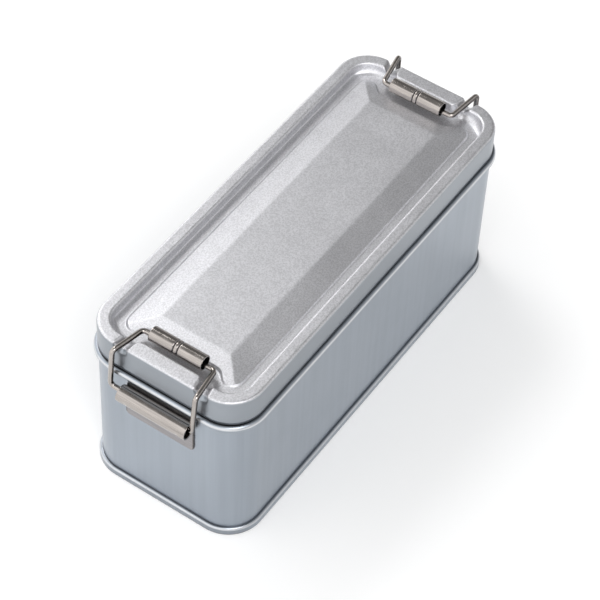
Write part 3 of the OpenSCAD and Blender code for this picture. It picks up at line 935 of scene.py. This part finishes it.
class TIN_OT_hinges(bpy.types.Operator):
    """Makes the two hinge plates, each rolled into a tube and staked in two places"""

    bl_idname = "tin.hinges"
    bl_label = "Hinge plates"
    bl_options = {"REGISTER", "UNDO"}

    def execute(self, context):
        sizes = context.scene.tin_clasp_sizes
        corner, rounding, tip = sizes.plate_corner, sizes.plate_edge, 0.04 * MM
        line = hinge_section(sizes)
        half = sizes.plate_sheet / 2
        section = np.concatenate([offset_line(line, -half), offset_line(line, half)[::-1]])
        tube_z = PLATE_HIGH.z - sizes.tube / 2
        width = PLATE_HIGH.y
        ends = np.array([-width, -width + tip, -width + rounding])
        between = np.linspace(-width + 0.5 * MM, width - 0.5 * MM, 110)
        y = np.concatenate([ends, between, -ends[::-1]])
        shrink = np.interp(np.abs(y), [width - rounding, width - tip, width], [0.0, 0.4, 1.0])
        material = clasp_finish("nickel_plate", (1.0, 0.04, 1.0))
        for side, name in ((-1, "left"), (1, "right")):
            rows = []
            for yy, s in zip(y, shrink):
                middle = np.concatenate([line, line[::-1]])
                p = middle + (section - middle) * (1 - 0.35 * s)
                beyond = max(0.0, abs(yy) - (width - corner))
                lift = corner - math.sqrt(max(0.0, corner**2 - beyond**2))
                p[:, 1] = np.maximum(p[:, 1], -sizes.plate_drop + lift)
                for spot in (-sizes.stake_half, sizes.stake_half):
                    away = ((p[:, 1] + 0.6 * MM) ** 2 + (yy - spot) ** 2) / sizes.stake_width**2
                    front = p[:, 0] > sizes.tube * 0.55
                    p[:, 0] -= sizes.stake_depth * np.exp(-away) * front
                x, z = side * (PLATE_LOW.x + p[:, 0]), p[:, 1] + tube_z
                rows.append(np.column_stack([x, np.full(len(p), yy), z]))
            points = np.array(rows)
            faces = rolled_faces(*points.shape[:2])
            plate = make_piece(f"{name}_hinge", points, faces, "tin", material, 40)
            # Painted light: the rolled tube painted bright, the plate painted dull and painted shade along
            # its two cut edges
            out, z = np.abs(points[:, :, 0]) - PLATE_LOW.x, points[:, :, 2] - tube_z
            rolled = smooth((z + sizes.tube / 2) / (0.6 * MM))
            rolled *= smooth((out - 0.6 * sizes.plate_sheet) / (0.6 * MM))
            share = np.maximum(rolled, smooth(z / (1.0 * MM)))
            cut = (np.abs(y) > width - 0.3 * MM)[:, None] & (z < -sizes.tube / 2)
            mark_zone(plate, np.where(cut, EDGE_SHADE_ZONE, share))
            merge_close(plate, WELD / 10)
            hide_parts(f"{name}_hinge_plate")
        return {"FINISHED"}


class TIN_OT_clasps(bpy.types.Operator):
    """Makes the two bent wire clasps"""

    bl_idname = "tin.clasps"
    bl_label = "Wire clasps"
    bl_options = {"REGISTER", "UNDO"}

    def execute(self, context):
        sizes = context.scene.tin_clasp_sizes
        wire_r = sizes.wire / 2
        tube_x = PLATE_HIGH.x - sizes.tube / 2
        pivot_z = PLATE_HIGH.z - sizes.plate_sheet - wire_r - sizes.play
        roller_x = (ROLLER_HIGH.x + ROLLER_LOW.x) / 2
        elbow_z = (ROLLER_HIGH.z + ROLLER_LOW.z) / 2 - sizes.sag
        bend_x = WALL_HIGH.x + sizes.bend_out
        bend_z = LID_HIGH.z + sizes.bend_rise
        stub = PLATE_HIGH.y - sizes.stub
        material = clasp_finish("nickel_wire", (1.0, 0.12, 0.12))
        radii = [0.0, sizes.foot_bend, sizes.outer_bend, sizes.elbow_bend]
        radii += radii[::-1]
        for side, name, shift in ((-1, "left", sizes.left_shift), (1, "right", 0.0)):
            corners = [
                (tube_x, stub, pivot_z),
                (tube_x, sizes.bend_half + shift, pivot_z),
                (bend_x, sizes.bend_half, bend_z),
                (roller_x, sizes.elbow_half, elbow_z),
                (roller_x, -sizes.elbow_half, elbow_z),
                (bend_x, -sizes.bend_half, bend_z),
                (tube_x, shift - sizes.bend_half, pivot_z),
                (tube_x, -stub, pivot_z),
            ]
            path = filleted([(side * x, y, z) for x, y, z in corners], radii, 0.2 * MM)
            points, faces, flank = tube_mesh(path, wire_r, 24)
            wire = make_piece(f"{name}_wire", points, faces, f"{name}_clasp", material, 50)
            # Plain nickel on its faces and painted shade on its two flanks
            mark_zone(wire, 1 - 2 * smooth((flank - 0.72) / 0.14))
            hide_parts(f"{name}_bail")
        return {"FINISHED"}


class TIN_OT_rollers(bpy.types.Operator):
    """Makes the rolled sleeves on the wires, with their open seam and two crimped lines"""

    bl_idname = "tin.rollers"
    bl_label = "Rollers"
    bl_options = {"REGISTER", "UNDO"}

    def execute(self, context):
        sizes = context.scene.tin_clasp_sizes
        outer = (ROLLER_HIGH.z - ROLLER_LOW.z) / 2
        inner = outer - sizes.roller_sheet
        half = ROLLER_HIGH.y
        centre_x = (ROLLER_HIGH.x + ROLLER_LOW.x) / 2
        centre_z = (ROLLER_HIGH.z + ROLLER_LOW.z) / 2
        opening = 4.0  # degrees on each side of the open seam
        a = np.radians(np.linspace(-90 + opening, 270 - opening, 65))
        end = sizes.roller_end
        near = np.linspace(-1.5 * MM, 1.5 * MM, 61)
        plain = np.linspace(1.8 * MM, half - 2 * end, 12)
        tip = half - end * (1 - np.sin(np.linspace(0, math.pi / 2, 5)))
        y = np.concatenate([-tip[::-1], -plain[::-1], near, plain, tip])
        material = clasp_finish("nickel_roller", (1.0, 0.05, 1.0))
        crimped = np.exp(-(((np.abs(y) - sizes.crimp_step / 2) / sizes.crimp_width) ** 2))
        for side, name in ((-1, "left"), (1, "right")):
            rows = []
            for yy, line in zip(y, crimped):
                ease = max(0.0, (abs(yy) - (half - end)) / end)
                drop = sizes.crimp * line
                ro = outer - drop - end * (1 - math.sqrt(max(0.0, 1 - ease * ease)))
                ri = inner - drop * 0.8
                ring = [(ro * math.cos(t), ro * math.sin(t)) for t in a]
                ring += [(ri * math.cos(t), ri * math.sin(t)) for t in a[::-1]]
                rows.append([(side * (centre_x + p), yy, centre_z + q) for p, q in ring])
            points = np.array(rows)
            faces = rolled_faces(*points.shape[:2])
            body = f"{name}_grip"
            roller = make_piece(f"{name}_sleeve", points, faces, body, material, 40)
            # Painted shade in the two crimped lines and inside the bore
            bore = np.repeat([[0.0, 1.0]], len(a), axis=1)
            mark_zone(roller, np.clip(1 - 2 * crimped[:, None] - 1.6 * bore, -1, 1))
            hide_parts(f"{name}_roller")
        return {"FINISHED"}


# Studio

# The camera of the photograph, fitted to the tin's three labelled sizes
CAMERA_PLACE = (-0.40570, -0.25569, 0.59375)
CAMERA_RIGHT = (0.5677866, -0.8224014, 0.0356978)
CAMERA_UP = (0.6161388, 0.4533407, 0.6440926)
CAMERA_LENS = 139.688
# Where the soft lights stand, and where the room is grey and pale
KEY_LIGHT = {"direction": (0.266, 0.570, 0.777), "distance": 1.3, "size": 0.45}
FRONT_FILL = {"direction": (-0.38, -0.48, 0.79), "distance": 1.7, "size": 0.9}
GREY_SIDE = (0.785, 0.196, 0.588)
PALE_SIDE = (-0.65, 0.70, 0.0)
FLOOR_HALF = 6.0


def facing(tree, direction, towards, low, high):
    """How far a direction points towards another, from 0 to 1."""
    aim = tuple(Vector(towards).normalized())
    node = add(tree, "ShaderNodeVectorMath", {0: direction, 1: aim}, operation="DOT_PRODUCT")
    return remap(tree, node.outputs["Value"], low, high)


def room_colour(context):
    """A pale room whose ceiling is grey on one side, as large soft boxes leave it."""
    look = context.scene.tin_studio
    world = bpy.data.worlds.new("studio_room")
    world.use_nodes = True
    context.scene.world = world
    tree = world.node_tree
    direction = add(tree, "ShaderNodeTexCoord").outputs["Generated"]
    behind = facing(tree, direction, GREY_SIDE, 0.72, 0.93)
    height = add(tree, "ShaderNodeSeparateXYZ", {0: direction}).outputs["Z"]
    above = remap(tree, height, 0.80, 0.90)
    low = remap(tree, height, 0.10, 0.30)
    grey = maths(tree, "MULTIPLY", maths(tree, "MAXIMUM", behind, above), low)
    side = facing(tree, direction, PALE_SIDE, -0.7, 0.7)
    pale = remap(tree, side, 0.0, 1.0, look.bright * 0.62, look.bright * 1.3)
    level = maths(tree, "MULTIPLY", pale, remap(tree, grey, 0.0, 1.0, 1.0, look.dim))
    background = tree.nodes["Background"]
    tree.links.new(level, background.inputs["Color"])
    background.inputs["Strength"].default_value = 1.0


def soft_light(context, name, direction, distance, size, power):
    """A round soft light that shines on the tin from one direction."""
    data = bpy.data.lights.new(name, "AREA")
    data.shape, data.size, data.energy = "DISK", size, power
    lamp = bpy.data.objects.new(name, data)
    aim = Vector(direction).normalized()
    lamp.location = aim * distance + Vector((0, 0, 0.05))
    lamp.rotation_mode = "QUATERNION"
    lamp.rotation_quaternion = aim.to_track_quat("Z", "Y")
    context.scene.collection.objects.link(lamp)


def floor_finish(look):
    """Matt pale floor that the camera and the metal see a little brighter than it is lit."""
    material = bpy.data.materials.new("pale_floor")
    material.use_nodes = True
    tree = material.node_tree
    shader = tree.nodes["Principled BSDF"]
    place = add(tree, "ShaderNodeTexCoord").outputs["Object"]
    pale = tinted(tree, look.floor, noise(tree, place, 3.0, 2.0, 0.5), 0.995, 1.005)
    tree.links.new(pale, shader.inputs["Base Color"])
    shader.inputs["Roughness"].default_value = 0.9
    shader.inputs["Specular IOR Level"].default_value = 0.1
    path = add(tree, "ShaderNodeLightPath")
    seen = maths(tree, "MAXIMUM", path.outputs["Is Camera Ray"], path.outputs["Is Glossy Ray"])
    seen = maths(tree, "MAXIMUM", seen, path.outputs["Is Transmission Ray"])
    shader.inputs["Emission Color"].default_value = (1.0, 1.0, 1.0, 1.0)
    tree.links.new(maths(tree, "MULTIPLY", seen, look.lift), shader.inputs["Emission Strength"])
    return material


class TIN_OT_studio(bpy.types.Operator):
    """Sets the floor, the pale room, the soft lights and the camera"""

    bl_idname = "tin.studio"
    bl_label = "Studio"
    bl_options = {"REGISTER", "UNDO"}

    def execute(self, context):
        look = context.scene.tin_studio
        mesh = bpy.data.meshes.new("floor")
        corners = [(x * FLOOR_HALF, y * FLOOR_HALF, 0) for x, y in ((-1, -1), (1, -1), (1, 1), (-1, 1))]
        mesh.from_pydata(corners, [], [(0, 1, 2, 3)])
        mesh.materials.append(floor_finish(look))
        floor = bpy.data.objects.new("floor", mesh)
        context.scene.collection.objects.link(floor)
        room_colour(context)
        soft_light(context, "key_light", power=look.key, **KEY_LIGHT)
        soft_light(context, "front_fill", power=look.fill, **FRONT_FILL)
        data = bpy.data.cameras.new("camera")
        data.sensor_width = 36.0
        data.lens = CAMERA_LENS
        data.clip_start, data.clip_end = 0.05, 20.0
        camera = bpy.data.objects.new("camera", data)
        right, up = Vector(CAMERA_RIGHT), Vector(CAMERA_UP)
        back = right.cross(up)
        turn = Matrix((right, up, back)).transposed().to_4x4()
        camera.matrix_world = Matrix.Translation(CAMERA_PLACE) @ turn
        context.scene.collection.objects.link(camera)
        context.scene.camera = camera
        context.scene.view_settings.view_transform = "Standard"
        return {"FINISHED"}


OPERATORS = (
    TIN_OT_wall,
    TIN_OT_bottom,
    TIN_OT_lid,
    TIN_OT_hinges,
    TIN_OT_clasps,
    TIN_OT_rollers,
    TIN_OT_studio,
)


class TIN_PT_panel(bpy.types.Panel):
    """Lists the sizes and finishes, and the steps that make the tin"""

    bl_idname = "TIN_PT_panel"
    bl_label = "Pencil Tin"
    bl_space_type = "VIEW_3D"
    bl_region_type = "UI"
    bl_category = "Pencil Tin"

    def draw(self, context):
        layout = self.layout
        for key, group in PROPERTY_GROUPS.items():
            box = layout.box()
            box.label(text=group.__doc__)
            for name in group.__annotations__:
                box.prop(getattr(context.scene, key), name)
        for operator in OPERATORS:
            layout.operator(operator.bl_idname)


def register():
    for group in PROPERTY_GROUPS.values():
        bpy.utils.register_class(group)
    for key, group in PROPERTY_GROUPS.items():
        setattr(bpy.types.Scene, key, bpy.props.PointerProperty(type=group))
    for operator in OPERATORS:
        bpy.utils.register_class(operator)
    bpy.utils.register_class(TIN_PT_panel)


def unregister():
    bpy.utils.unregister_class(TIN_PT_panel)
    for operator in reversed(OPERATORS):
        bpy.utils.unregister_class(operator)
    for key in PROPERTY_GROUPS:
        delattr(bpy.types.Scene, key)
    for group in reversed(list(PROPERTY_GROUPS.values())):
        bpy.utils.unregister_class(group)


def main():
    register()
    for name in ("wall", "bottom", "lid", "hinges", "clasps", "rollers", "studio"):
        getattr(bpy.ops.tin, name)()


if __name__ == "__main__":
    main()
